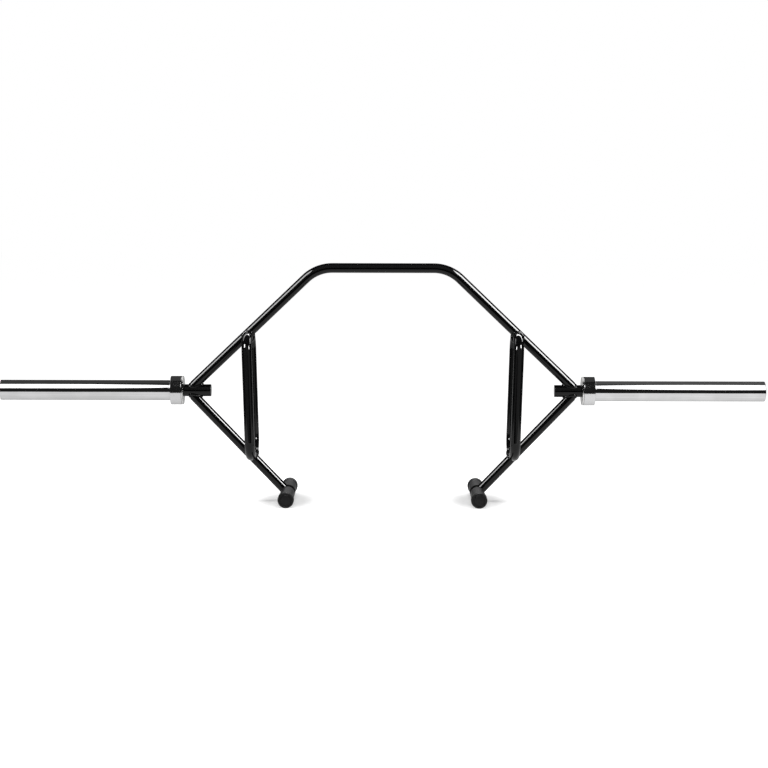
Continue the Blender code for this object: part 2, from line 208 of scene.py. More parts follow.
class WeldSizes(PropertyGroup):
    """Sizes of the weld beads."""
    radius: metres("Bead radius", "Radius of a bead on a spindle", 0.0030)
    grip_radius: metres("Grip bead radius", "Radius of the bead round a grip's leg", 0.0038)
    foot_radius: metres("Foot bead radius", "Radius of the bead on a foot tube", 0.0022)
    lift: metres("Bead lift", "How far a bead's middle stands off the bars", 0.00075)
    ripple_pitch: metres("Ripple pitch", "Distance between two ripples", 0.0036)
    ripple_depth: metres("Ripple depth", "How deep the ripples are", 0.00005)
    unevenness: metres("Unevenness", "How far a bead's radius wanders", 0.0001)


class SleeveSizes(PropertyGroup):
    """Sizes of what turns with a sleeve, and of the spindle in it."""
    bore_radius: metres("Sleeve bore", "Radius of the sleeve's bore", 0.020)
    sleeve_edge: metres("Sleeve edge", "Rounding of the sleeve's outer edge", 0.0018)
    mouth: metres("Sleeve mouth", "Chamfer of the sleeve's mouth", 0.0012)
    relief_distance: metres("Relief", "From the collar to the relief groove", 0.0032)
    relief_width: metres("Relief width", "Width of the relief groove", 0.002)
    collar_edge: metres("Collar edge", "Rounding of the collar's edges", 0.0012)
    plate_edge: metres("Collar plate edge", "Rounding of the plate's inboard edge", 0.0024)
    plate_bore: metres("Collar plate clearance", "Clearance round the spindle", 0.0004)
    plate_thickness: metres("Collar plate thickness", "Thickness of the plate's rim", 0.004)
    journal_step: metres("Journal step", "Step from the stub to the journal", 0.0015)
    cap_disc: metres("End cap", "Thickness of an end cap's disc", 0.0035)
    cap_wall: metres("End cap skirt", "Thickness of an end cap's skirt", 0.002)
    stub_edge: metres("Stub edge", "Chamfer of the spindle's ends", 0.001)


class FootSizes(PropertyGroup):
    """Sizes of the foot tubes and their rubber caps."""
    tube_wall: metres("Tube wall", "Thickness of the tube's wall", 0.0025)
    body_radius: metres("Cap body", "Radius of the cap behind its lip", 0.018)
    lip_length: metres("Lip length", "Length of the wider lip", 0.024)
    edge_round: metres("Edge rounding", "Rounding round the end face", 0.0038)
    end_wall: metres("End wall", "Thickness of rubber over the tube's end", 0.008)
    dome: metres("End dome", "How far the end face stands out in its middle", 0.0007)


class Finishes(PropertyGroup):
    """Colours and roughness of the finishes."""
    paint: rgb("Paint", "Colour of the gloss black coat", (0.0045, 0.0045, 0.0048))
    paint_roughness: FloatProperty(name="Paint roughness", description="Roughness of the coat",
                                   default=0.06, subtype="FACTOR")
    chrome: rgb("Chrome", "Colour of the plating", (0.70, 0.70, 0.705))
    chrome_roughness: FloatProperty(name="Chrome roughness", description="Roughness of the polished sleeves",
                                    default=0.045, subtype="FACTOR")
    steel: rgb("Satin steel", "Colour of the collar plates", (0.80, 0.80, 0.79))
    rubber: rgb("Rubber", "Colour of the foot caps", (0.014, 0.014, 0.0145))
    bronze: rgb("Bronze", "Colour of the bushings", (0.52, 0.34, 0.16))
    plastic: rgb("Plastic", "Colour of the end caps", (0.020, 0.020, 0.021))


class StudioSettings(PropertyGroup):
    """The camera's place, and how the paper and the dark studio look."""
    camera_place: FloatVectorProperty(name="Camera", description="Place of the camera",
                                      default=(0.0031, -4.8, 0.853), subtype="TRANSLATION", unit="LENGTH")
    camera_pitch: FloatProperty(name="Pitch", description="How far the camera looks down",
                                default=0.116, subtype="ANGLE", unit="ROTATION")
    camera_roll: FloatProperty(name="Roll", description="Turn of the camera about its view",
                               default=0.0024, subtype="ANGLE", unit="ROTATION")
    lens: FloatProperty(name="Lens", description="Focal length in millimetres on a 36 mm sensor",
                        default=91.07)
    paper_colour: rgb("Paper colour", "Colour of the paper in its shadows", (0.62, 0.62, 0.62))
    # Painted shade: the paper's glow to the camera is dimmed round the feet, fading out between these two
    # distances by this factor
    shadow_start: metres("Shadow's start", "Where a foot's shadow begins to fade", 0.035)
    shadow_end: metres("Shadow's end", "Where a foot's shadow has faded to white", 0.11)
    shadow_depth: FloatProperty(name="Shadow's depth", description="How much darker the paper is at a foot",
                                default=0.62, subtype="FACTOR")
    dark: FloatProperty(name="Dark studio", description="What gloss shows of the unlit studio",
                        default=0.013)
    paper: FloatProperty(name="Paper", description="What gloss shows of the white paper", default=0.88)
    paper_front: metres("Paper's front edge", "Where the paper ends at the front", -1.0)
    paper_half_width: metres("Paper's half width", "Where the paper ends sideways", 1.5)
    paper_blur: metres("Paper's side blur", "How softly the paper ends sideways", 0.15)


class Socket:
    """A value in a material, with Python's operators as its Math nodes."""

    def __init__(self, finish, link):
        self.finish = finish
        self.link = link

    def maths(self, operation, *others):
        """A Math node on this value and others."""
        values = [self, *others]
        node = self.finish.node("ShaderNodeMath", {"operation": operation}, dict(enumerate(values)))
        return Socket(self.finish, node.outputs[0])

    def reflected(self, operation, other):
        """A Math node on another value and this one."""
        node = self.finish.node("ShaderNodeMath", {"operation": operation}, {0: other, 1: self})
        return Socket(self.finish, node.outputs[0])

    def __add__(self, other):
        return self.maths("ADD", other)

    def __radd__(self, other):
        return self.reflected("ADD", other)

    def __sub__(self, other):
        return self.maths("SUBTRACT", other)

    def __rsub__(self, other):
        return self.reflected("SUBTRACT", other)

    def __mul__(self, other):
        return self.maths("MULTIPLY", other)

    def __rmul__(self, other):
        return self.reflected("MULTIPLY", other)

    def __pow__(self, other):
        return self.maths("POWER", other)

    def __abs__(self):
        return self.maths("ABSOLUTE")

    def waves(self, length):
        """A sine wave of that length, from 0 to 1."""
        return (self * (math.tau / length)).maths("SINE") * 0.5 + 0.5

    def rise(self, start, end):
        """0 up to start, 1 from end on, and smooth between them."""
        node = self.finish.node("ShaderNodeMapRange", {"interpolation_type": "SMOOTHSTEP"},
                                {"Value": self, "From Min": start, "From Max": end})
        return Socket(self.finish, node.outputs[0])


# Sets this script's materials apart from the packed model's, which bear the slots' names
FINISH_PREFIX = "trap_bar_"


class Finish:
    """A material under way, or the world."""

    def __init__(self, block):
        block.use_nodes = True
        self.block = block
        self.tree = block.node_tree
        self.tree.nodes.clear()

    def node(self, kind, settings=None, sockets=None):
        """Any node: its settings first, then the values or links of its sockets."""
        made = self.tree.nodes.new(kind)
        for name, value in (settings or {}).items():
            setattr(made, name, value)
        for key, value in (sockets or {}).items():
            socket = made.inputs[key]
            if isinstance(value, Socket):
                self.tree.links.new(value.link, socket)
            elif isinstance(value, bpy.types.NodeSocket):
                self.tree.links.new(value, socket)
            else:
                socket.default_value = value
        return made

    def place(self, centre=(0, 0, 0), stretch=(1, 1, 1)):
        """The place on the piece, from a centre, with each axis stretched."""
        point = self.node("ShaderNodeTexCoord").outputs["Object"]
        return self.node("ShaderNodeMapping", {"vector_type": "TEXTURE"},
                         {"Vector": point, "Location": centre, "Scale": stretch}).outputs[0]

    def axes(self, centre=(0, 0, 0)):
        """The place on the piece as three numbers."""
        parts = self.node("ShaderNodeSeparateXYZ", None, {0: self.place(centre)})
        return [Socket(self, output) for output in parts.outputs]

    def noise(self, size, detail=2.0, centre=(0, 0, 0), stretch=(1, 1, 1)):
        """Noise whose patches are about as large as size."""
        node = self.node("ShaderNodeTexNoise", None,
                         {"Vector": self.place(centre, stretch), "Scale": 1 / size, "Detail": detail})
        return Socket(self, node.outputs["Fac"])

    def mix(self, factor, low, high):
        """A colour between two."""
        return self.node("ShaderNodeMix", {"data_type": "RGBA"},
                         {"Factor": factor, "A": (*low, 1), "B": (*high, 1)}).outputs["Result"]

    def shades(self, factor, colour, low, high):
        """A colour between two shades of itself, each given as how much lighter or darker it is."""
        return self.mix(factor, *([min(1, part * shade) for part in colour] for shade in (low, high)))

    def bump(self, height):
        """The surface raised by a height in metres."""
        return self.node("ShaderNodeBump", None,
                         {"Height": height, "Strength": 1.0, "Distance": 1.0}).outputs["Normal"]

    def surface(self, colour, height, **sockets):
        """The material's shader; an underscore stands for the space in a socket's name."""
        named = {name.replace("_", " "): value for name, value in sockets.items()}
        named |= {"Base Color": colour, "Normal": self.bump(height)}
        return self.shown(self.node("ShaderNodeBsdfPrincipled", None, named))

    def layered(self, factor, low, high):
        """A shader between two."""
        return self.node("ShaderNodeMixShader", None, {0: factor, 1: low.outputs[0], 2: high.outputs[0]})

    def shown(self, shader, kind="ShaderNodeOutputMaterial"):
        """The material or world, with its last node in place."""
        self.node(kind, None, {"Surface": shader.outputs[0]})
        return self.block


def new_finish(name):
    """A new material under way."""
    return Finish(bpy.data.materials.new(FINISH_PREFIX + name))


def gloss_black_paint(finish, looks):
    """Gloss black powder coat, with a slight orange peel."""
    peel = finish.noise(0.009, 1.0)
    patches = finish.noise(0.06, 3.0)
    return finish.surface(finish.shades(patches, looks.paint, 0.8, 1.3), peel * 0.000005,
                          Roughness=patches * 0.03 + looks.paint_roughness - 0.01, Specular_IOR_Level=0.28)


def polished_chrome(finish, looks):
    """Hard chrome on the sleeves: polished, a little wavy, and scuffed lengthways by the plates."""
    waves = finish.noise(0.035, 1.0, SPINDLE_AXIS, (4, 1, 1))
    rings = finish.noise(0.0012, 2.0, SPINDLE_AXIS, (1, 60, 60))
    lines = finish.noise(0.0024, 3.0, SPINDLE_AXIS, (70, 1, 1))
    scuffs = lines.rise(0.60, 0.74)
    worn = finish.noise(0.05, 3.0, SPINDLE_AXIS).rise(0.42, 0.70)
    marks = scuffs * worn
    tint = lines.rise(0.30, 0.70) * 0.6 + worn * 0.4
    height = waves * 0.00035 + rings * 0.0000009 - marks * 0.000002
    return finish.surface(finish.shades(tint, looks.chrome, 0.88, 1.09), height, Metallic=1.0,
                          Roughness=marks * 0.10 + looks.chrome_roughness + rings * 0.012)


def turned_chrome(finish, looks):
    """Chrome on the collars: fine turning marks under the plating, and a grain from the casting."""
    grain = finish.noise(0.0022, 3.0)
    rings = finish.noise(0.0006, 2.0, SPINDLE_AXIS, (1, 40, 40))
    dull = grain.rise(0.42, 0.66)
    knocks = finish.noise(0.004, 2.0).rise(0.66, 0.74)
    height = grain * 0.00006 + rings * 0.000002 - knocks * 0.00002
    return finish.surface(finish.shades(grain, looks.chrome, 0.85, 1.15), height, Metallic=1.0,
                          Roughness=dull * 0.16 + 0.05)


def satin_steel(finish, looks):
    """Bright satin steel on the collar plates, turned in rings."""
    _, depth, height = finish.axes(SPINDLE_AXIS)
    out = (depth * depth + height * height) ** 0.5
    rings = out.waves(0.0005)
    stain = finish.noise(0.012, 3.0)
    return finish.surface(finish.shades(stain, looks.steel, 0.94, 1.06), rings * 0.000004 + stain * 0.00001,
                          Metallic=1.0, Roughness=stain * 0.08 + 0.20)


def black_rubber(finish, looks):
    """Matt moulded rubber, a little dusty and scuffed."""
    mould = finish.noise(0.0009, 2.0)
    dust = finish.noise(0.018, 4.0)
    _, _, upward = finish.axes(FOOT)
    parting = 1 - abs(upward).rise(0.00025, 0.0007)
    scuffs = finish.noise(0.0035, 3.0).rise(0.60, 0.75)
    lift = dust * 0.7 + scuffs * 0.5
    height = mould * 0.00006 + parting * 0.00025 - scuffs * 0.00003
    return finish.surface(finish.shades(lift, looks.rubber, 0.8, 1.55), height,
                          Roughness=dust * 0.12 + 0.40 + scuffs * 0.08, Specular_IOR_Level=0.28)


def sintered_bronze(finish, looks):
    """Oiled sintered bronze with open pores."""
    pores = finish.noise(0.0006, 2.0).rise(0.58, 0.68)
    oil = finish.noise(0.012, 3.0)
    return finish.surface(finish.shades(oil, looks.bronze, 0.75, 1), pores * -0.00002, Metallic=1.0,
                          Roughness=oil * 0.15 + 0.28)


def ground_steel(finish, _looks):
    """Hardened steel, ground on its faces."""
    _, depth, height = finish.axes(SPINDLE_AXIS)
    lines = (depth + height * 0.3).waves(0.0004)
    tint = finish.noise(0.006, 2.0)
    return finish.surface(finish.mix(tint, (0.28, 0.28, 0.29), (0.36, 0.35, 0.34)), lines * 0.000003,
                          Metallic=1.0, Roughness=tint * 0.1 + 0.28)


def spring_steel(finish, _looks):
    """Dark phosphated spring steel."""
    crystals = finish.noise(0.0004, 2.0)
    return finish.surface(finish.mix(crystals, (0.07, 0.07, 0.075), (0.15, 0.15, 0.15)), crystals * 0.00001,
                          Metallic=0.9, Roughness=crystals * 0.2 + 0.40)


def black_plastic(finish, looks):
    """Moulded black nylon with a fine spark-eroded grain."""
    grain = finish.noise(0.0007, 2.0)
    shine = finish.noise(0.010, 3.0)
    return finish.surface(finish.shades(shine, looks.plastic, 0.8, 1.4), grain * 0.00004,
                          Roughness=shine * 0.15 + 0.36)


# How each finish is made, and the slot of the record that it belongs to
FINISH_MAKERS = {
    "gloss_black_paint": (gloss_black_paint, "gloss_black_paint"),
    "polished_chrome": (polished_chrome, "hard_chrome"),
    "turned_chrome": (turned_chrome, "hard_chrome"),
    "satin_steel": (satin_steel, "satin_steel"),
    "black_rubber": (black_rubber, "black_rubber"),
    "sintered_bronze": (sintered_bronze, "sintered_bronze"),
    "ground_steel": (ground_steel, "hardened_steel"),
    "spring_steel": (spring_steel, "spring_steel"),
    "black_plastic": (black_plastic, "black_plastic"),
}


def finish_named(name):
    """A finish's material, made the first time it is asked for."""
    maker, _slot = FINISH_MAKERS[name]
    made = bpy.data.materials.get(FINISH_PREFIX + name)
    return made or maker(new_finish(name), bpy.context.scene.trap_bar_finishes)


def new_object(name, shape):
    """A mesh object at the origin, with its faces turned outward."""
    bmesh.ops.recalc_face_normals(shape, faces=shape.faces[:])
    mesh = bpy.data.meshes.new(name)
    shape.to_mesh(mesh)
    shape.free()
    item = bpy.data.objects.new(name, mesh)
    bpy.context.scene.collection.objects.link(item)
    return item


def finished(item, finish, body, node=None):
    """Give a piece its finish, the body it rides on, and the node that it stands for."""
    item.data.shade_smooth()
    item.data.set_sharp_from_angle(angle=SHARP_ANGLE)
    shading = item.modifiers.new("large faces shaded true", "WEIGHTED_NORMAL")
    shading.keep_sharp = True
    item.data.materials.clear()
    item.data.materials.append(finish_named(finish))
    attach(item, body)
    if node:
        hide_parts(node)
    return item


def coped(item, *tools):
    """Cut tools out of a piece, keep the result and remove the tools."""
    for tool in tools:
        step = item.modifiers.new(f"cut {tool.name}", "BOOLEAN")
        step.operation = "DIFFERENCE"
        step.solver = "EXACT"
        step.object = tool
    cut = bpy.data.meshes.new_from_object(item.evaluated_get(bpy.context.evaluated_depsgraph_get()))
    shape = bmesh.new()
    shape.from_mesh(cut)
    bmesh.ops.dissolve_degenerate(shape, dist=SLIVER_WIDTH, edges=shape.edges[:])
    shape.to_mesh(cut)
    shape.free()
    item.modifiers.clear()
    item.data = cut
    for tool in tools:
        bpy.data.objects.remove(tool, do_unlink=True)
    return item


def softened(corners, closed=False):
    """A profile from (along, out, rounding) corners, each rounded off by its own radius."""
    points = []
    for index, (along, out, rounding) in enumerate(corners):
        corner = Vector((along, out))
        inner = closed or 0 < index < len(corners) - 1
        if rounding == 0 or not inner:
            points.append(corner)
            continue
        back = (Vector(corners[index - 1][:2]) - corner).normalized()
        onward = (Vector(corners[(index + 1) % len(corners)][:2]) - corner).normalized()
        half = back.angle(onward) / 2
        middle = corner + (back + onward).normalized() * rounding / math.sin(half)
        start = corner + back * rounding / math.tan(half) - middle
        end = corner + onward * rounding / math.tan(half) - middle
        for step in range(ROUND_STEPS + 1):
            points.append(middle + start.lerp(end, step / ROUND_STEPS).normalized() * rounding)
    return points


def turned(profile, segments):
    """A shape turned about the X axis from (along, out) points; one that stays off the axis is a ring."""
    shape = bmesh.new()
    line = [shape.verts.new((along, 0, out)) for along, out in profile]
    edges = [shape.edges.new(pair) for pair in zip(line, line[1:])]
    if min(out for _, out in profile) > 0:
        edges.append(shape.edges.new((line[-1], line[0])))
    bmesh.ops.spin(shape, geom=line + edges, cent=(0, 0, 0), axis=(1, 0, 0), angle=math.tau, steps=segments,
                   use_merge=True)
    bmesh.ops.remove_doubles(shape, verts=shape.verts[:], dist=MERGE_DISTANCE)
    return shape


def moved(shape, place):
    """Move and turn a whole shape."""
    bmesh.ops.transform(shape, matrix=place, verts=shape.verts[:])
    return shape


def station(place, heading, aside, radius):
    """Where a bar's round section stands: its place, its heading, a direction across it and its radius."""
    ahead = heading.normalized()
    across = (aside - ahead * aside.dot(ahead)).normalized()
    turn = Matrix((across, ahead.cross(across), ahead)).transposed().to_4x4()
    return Matrix.Translation(place) @ turn @ Matrix.Diagonal((radius, radius, 1, 1))


def swept(stations, segments, closed=False):
    """A round bar through its stations, with flat ends or closed into a loop."""
    shape = bmesh.new()
    bmesh.ops.create_circle(shape, segments=segments, radius=1, matrix=stations[0])
    first_rim = shape.edges[:]
    rim = first_rim
    for before, after in zip(stations, stations[1:]):
        grown = bmesh.ops.extrude_edge_only(shape, edges=rim)["geom"]
        corners = {part for part in grown if isinstance(part, bmesh.types.BMVert)}
        bmesh.ops.transform(shape, matrix=after @ before.inverted(), verts=list(corners))
        edges = [part for part in grown if isinstance(part, bmesh.types.BMEdge)]
        rim = [edge for edge in edges if corners.issuperset(edge.verts)]
    if closed:
        bmesh.ops.bridge_loops(shape, edges=first_rim + rim)
    else:
        bmesh.ops.holes_fill(shape, edges=first_rim + rim)
    return shape


def bent(corners, bend_radius, steps, aside, radius):
    """The stations of a round bar that runs straight between its corners and bends round each one."""
    heading = (corners[1] - corners[0]).normalized()
    stations = [station(corners[0], heading, aside, radius)]
    for corner, following in zip(corners[1:], corners[2:]):
        onward = (following - corner).normalized()
        angle = heading.angle(onward)
        axis = heading.cross(onward).normalized()
        start = corner - heading * bend_radius * math.tan(angle / 2)
        centre = start + axis.cross(heading) * bend_radius
        for step in range(steps + 1):
            turn = Matrix.Rotation(angle * step / steps, 3, axis)
            stations.append(station(centre + turn @ (start - centre), turn @ heading, aside, radius))
        heading = onward
    stations.append(station(corners[-1], heading, aside, radius))
    return stations


def straight(start, end, radius, segments=BAR_SEGMENTS):
    """A straight round bar."""
    return swept([station(place, end - start, Vector((0, 1, 0)), radius) for place in (start, end)], segments)


def trimmed(shape, point, outward, rounding):
    """Cut away what lies past a plane, close the cut and round its edge."""
    everything = shape.verts[:] + shape.edges[:] + shape.faces[:]
    cut = bmesh.ops.bisect_plane(shape, geom=everything, plane_co=point, plane_no=outward, clear_outer=True)
    rim = [part for part in cut["geom_cut"] if isinstance(part, bmesh.types.BMEdge)]
    bmesh.ops.holes_fill(shape, edges=rim)
    if rounding:
        bmesh.ops.bevel(shape, geom=rim, offset=rounding, affect="EDGES", segments=TRIM_STEPS, profile=0.5,
                        material=-1)
    return shape


def on_axis(along):
    """A point on the axis of the spindles and sleeves."""
    return SPINDLE_AXIS + Vector((along, 0, 0))


def junction(sizes):
    """Where the bars' axes meet the spindle's axis."""
    return on_axis(sizes.junction_x)


def past_junction(far_end, sizes):
    """Where a slanted bar ends before it is trimmed: a little way past the spindle's axis."""
    run = junction(sizes) - far_end
    return junction(sizes) + run.normalized() * SPINDLE_RADIUS


def top_corner(sizes):
    """Where the axes of the hoop's top and slanted run cross."""
    return Vector((sizes.corner_x, 0, TOP_HEIGHT))


def spindle_tool():
    """A cutter for the seat of the bars on the spindle, with a hair's clearance."""
    return straight(on_axis(SPINDLE_START), on_axis(PLATE_START), SPINDLE_RADIUS + FIT, SMALL_SEGMENTS)


def grip_legs(sizes):
    """The axes of a right grip's top and bottom leg, as points in the plane of the frame."""
    low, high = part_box("right_rear_grip")
    radius = sizes.grip_diameter / 2
    return Vector((high.x - radius, 0, high.z - radius)), Vector((low.x + radius, 0, low.z + radius))


def side_of(face, turn):
    """Front or rear, for a piece at +Y or -Y once its side of the bar is turned into place."""
    return "rear" if (turn @ Vector((0, face, 0))).y > 0 else "front"


class TRAPBAR_OT_hoop(Operator):
    """Bend the main hoop and cope it onto both spindles"""
    bl_idname = "trap_bar.hoop"
    bl_label = "Main Hoop"

    def execute(self, context):
        sizes = context.scene.trap_bar_frame
        right = [top_corner(sizes), past_junction(top_corner(sizes), sizes)]
        left = [SIDES["left"] @ point for point in reversed(right)]
        aside = Vector((0, 1, 0))
        shape = swept(bent(left + right, sizes.top_bend, BEND_STEPS, aside, BAR_RADIUS), BAR_SEGMENTS)
        for turn in SIDES.values():
            trimmed(shape, turn @ Vector((FRAME_END, 0, 0)), turn @ Vector((1, 0, 0)), sizes.end_round)
        hoop = new_object("main_hoop_bar", shape)
        tools = [new_object("seat", moved(spindle_tool(), turn)) for turn in SIDES.values()]
        finished(coped(hoop, *tools), "gloss_black_paint", "frame", "main_hoop")
        return {"FINISHED"}


class TRAPBAR_OT_arms(Operator):
    """Cut the two lower arms between spindle and foot"""
    bl_idname = "trap_bar.arms"
    bl_label = "Lower Arms"

    def execute(self, context):
        sizes = context.scene.trap_bar_frame
        reach = Vector((0, CAP_INNER_END * 2, 0))
        for side, turn in SIDES.items():
            shape = straight(past_junction(FOOT, sizes), FOOT, BAR_RADIUS)
            trimmed(shape, Vector((FRAME_END, 0, 0)), Vector((1, 0, 0)), sizes.end_round)
            arm = new_object(f"{side}_arm_bar", moved(shape, turn))
            foot_tool = swept([station(FOOT + reach * way, reach, Vector((1, 0, 0)), FOOT_TUBE_RADIUS + FIT)
                               for way in (-1, 1)], SMALL_SEGMENTS)
            tools = [new_object("seat", moved(tool, turn)) for tool in (spindle_tool(), foot_tool)]
            finished(coped(arm, *tools), "gloss_black_paint", "frame", f"{side}_arm")
        return {"FINISHED"}


class TRAPBAR_OT_grips(Operator):
    """Bend the four grips and cope their legs onto the bars"""
    bl_idname = "trap_bar.grips"
    bl_label = "Grips"

    def execute(self, context):
        sizes = context.scene.trap_bar_frame
        low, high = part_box("right_rear_grip")
        radius = sizes.grip_diameter / 2
        top, bottom = grip_legs(sizes)
        for side, turn in SIDES.items():
            for face in (-1, 1):
                root = Vector((0, face * low.y, 0))
                reach = Vector((0, face * (high.y - radius), 0))
                corners = [top + root, top + reach, bottom + reach, bottom + root]
                shape = swept(bent(corners, sizes.grip_bend, BEND_STEPS, Vector((1, 0, 0)), radius),
                              BAR_SEGMENTS)
                name = f"{side}_{side_of(face, turn)}_grip"
                grip = new_object(f"{name}_bar", moved(shape, turn))
                tools = [new_object("seat", moved(straight(junction(sizes), end, BAR_RADIUS + FIT), turn))
                         for end in (top_corner(sizes), FOOT)]
                finished(coped(grip, *tools), "gloss_black_paint", "frame", name)
        return {"FINISHED"}


class TRAPBAR_OT_spindles(Operator):
    """Turn the two spindles: stub, shoulder, journal and retaining groove"""
    bl_idname = "trap_bar.spindles"
    bl_label = "Spindles"

    def execute(self, context):
        sizes = context.scene.trap_bar_sleeves
        journal = SPINDLE_RADIUS - sizes.journal_step
        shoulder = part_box("right_inner_washer")[0].x - FIT
        ring_start, ring_end = (corner.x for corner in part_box("right_circlip"))
        groove = journal - sizes.journal_step / 2
        corners = [(SPINDLE_START, 0, 0), (SPINDLE_START, SPINDLE_RADIUS, sizes.stub_edge),
                   (shoulder, SPINDLE_RADIUS, FIT), (shoulder, journal, FIT), (ring_start - FIT, journal, 0),
                   (ring_start - FIT, groove, 0), (ring_end + FIT, groove, 0), (ring_end + FIT, journal, 0),
                   (SPINDLE_END, journal, sizes.stub_edge), (SPINDLE_END, 0, 0)]
        for side, turn in SIDES.items():
            shape = turned(softened(corners), SMALL_SEGMENTS)
            place = turn @ Matrix.Translation(SPINDLE_AXIS)
            spindle = new_object(f"{side}_spindle_shaft", moved(shape, place))
            finished(spindle, "gloss_black_paint", "frame", f"{side}_spindle")
        return {"FINISHED"}


def even_loop(points, spacing):
    """A closed line's points, laid out again at an even spacing and eased a little."""
    lengths = [0.0]
    for before, after in zip(points, points[1:] + points[:1]):
        lengths.append(lengths[-1] + (after - before).length)
    count = int(lengths[-1] / spacing)
    even = []
    index = 0
    for step in range(count):
        target = lengths[-1] * step / count
        while lengths[index + 1] < target:
            index += 1
        share = (target - lengths[index]) / (lengths[index + 1] - lengths[index])
        even.append(points[index].lerp(points[(index + 1) % len(points)], share))
    for _ in range(EASING_ROUNDS):
        even = [(before + 2 * here + after) / 4
                for before, here, after in zip(even[-1:] + even, even, even[1:] + even[:1])]
    return even


def weld_bead(name, points, middle, radius, sizes):
    """A rippled weld bead along a closed line round a middle point."""
    spacing = sizes.ripple_pitch / POINTS_PER_RIPPLE
    line = even_loop(points, spacing)
    stations = []
    for index, (before, here, after) in enumerate(zip(line[-1:] + line, line, line[1:] + line[:1])):
        phase = math.tau * index * spacing / sizes.ripple_pitch
        uneven = sizes.unevenness * sum(math.sin(index * wave) for wave in UNEVEN_WAVES)
        ripple = sizes.ripple_depth * math.cos(phase)
        stations.append(station(here, after - before, here - middle, radius + ripple + uneven))
    bead = new_object(name, swept(stations, BEAD_SEGMENTS, closed=True))
    return finished(bead, "gloss_black_paint", "frame")


def around(count):
    """Angles all the way round."""
    return [math.tau * step / count for step in range(count)]


def spindle_seam(sizes, far_end, lift):
    """The line where a slanted bar meets the spindle, and runs over the bar's trimmed end."""
    start = junction(sizes)
    run = (far_end - start).normalized()
    up = math.copysign(1, run.z)
    across = Vector((-run.z, 0, run.x)) * up
    points = []
    for angle in around(SEAM_POINTS):
        out = (BAR_RADIUS + lift) * math.cos(angle)
        depth = (BAR_RADIUS + lift) * math.sin(angle)
        height = math.sqrt((SPINDLE_RADIUS + lift) ** 2 - depth ** 2)
        along = (height * up - out * across.z) / run.z
        place = start + run * along + across * out
        points.append(Vector((min(place.x, FRAME_END + lift), depth, place.z)))
    return points


def grip_seam(leg, sizes, far_end, face, root, lift):
    """The line round the end of a grip's leg, on the bar and past its side."""
    start = junction(sizes)
    run = (far_end - start).normalized()
    across = Vector((-run.z, 0, run.x))
    radius = sizes.grip_diameter / 2 + lift
    points = []
    for angle in around(SEAM_POINTS):
        place = leg + Vector((math.cos(angle), 0, math.sin(angle))) * radius
        offset = (place - start).dot(across)
        depth = math.sqrt(max(0, (BAR_RADIUS + lift) ** 2 - offset ** 2))
        points.append(Vector((place.x, face * max(depth, root), place.z)))
    return points


def foot_seam(sizes):
    """The line where an arm meets its foot tube."""
    run = (junction(sizes) - FOOT).normalized()
    across = Vector((-run.z, 0, run.x))
    points = []
    for angle in around(SEAM_POINTS):
        out = BAR_RADIUS * math.cos(angle)
        along = math.sqrt(FOOT_TUBE_RADIUS ** 2 - out ** 2)
        points.append(FOOT + run * along + across * out + Vector((0, BAR_RADIUS * math.sin(angle), 0)))
    return points


class TRAPBAR_OT_welds(Operator):
    """Lay the weld beads that join the frame's bars"""
    bl_idname = "trap_bar.welds"
    bl_label = "Weld Beads"

    def execute(self, context):
        sizes = context.scene.trap_bar_frame
        welds = context.scene.trap_bar_welds
        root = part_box("right_rear_grip")[0].y
        legs = dict(zip(("top", "bottom"), grip_legs(sizes)))
        runs = {"top": top_corner(sizes), "bottom": FOOT}
        for side, turn in SIDES.items():
            for level, far_end in runs.items():
                line = [turn @ point for point in spindle_seam(sizes, far_end, welds.lift)]
                middle = sum(line, Vector()) / len(line)
                weld_bead(f"{side}_{level}_spindle_weld", line, middle, welds.radius, welds)
                for face in (-1, 1):
                    seam = grip_seam(legs[level], sizes, far_end, face, root, welds.lift)
                    line = [turn @ point for point in seam]
                    weld_bead(f"{side}_{side_of(face, turn)}_grip_{level}_weld", line, turn @ legs[level],
                              welds.grip_radius, welds)
            line = [turn @ point for point in foot_seam(sizes)]
            weld_bead(f"{side}_foot_weld", line, turn @ FOOT, welds.foot_radius, welds)
        return {"FINISHED"}


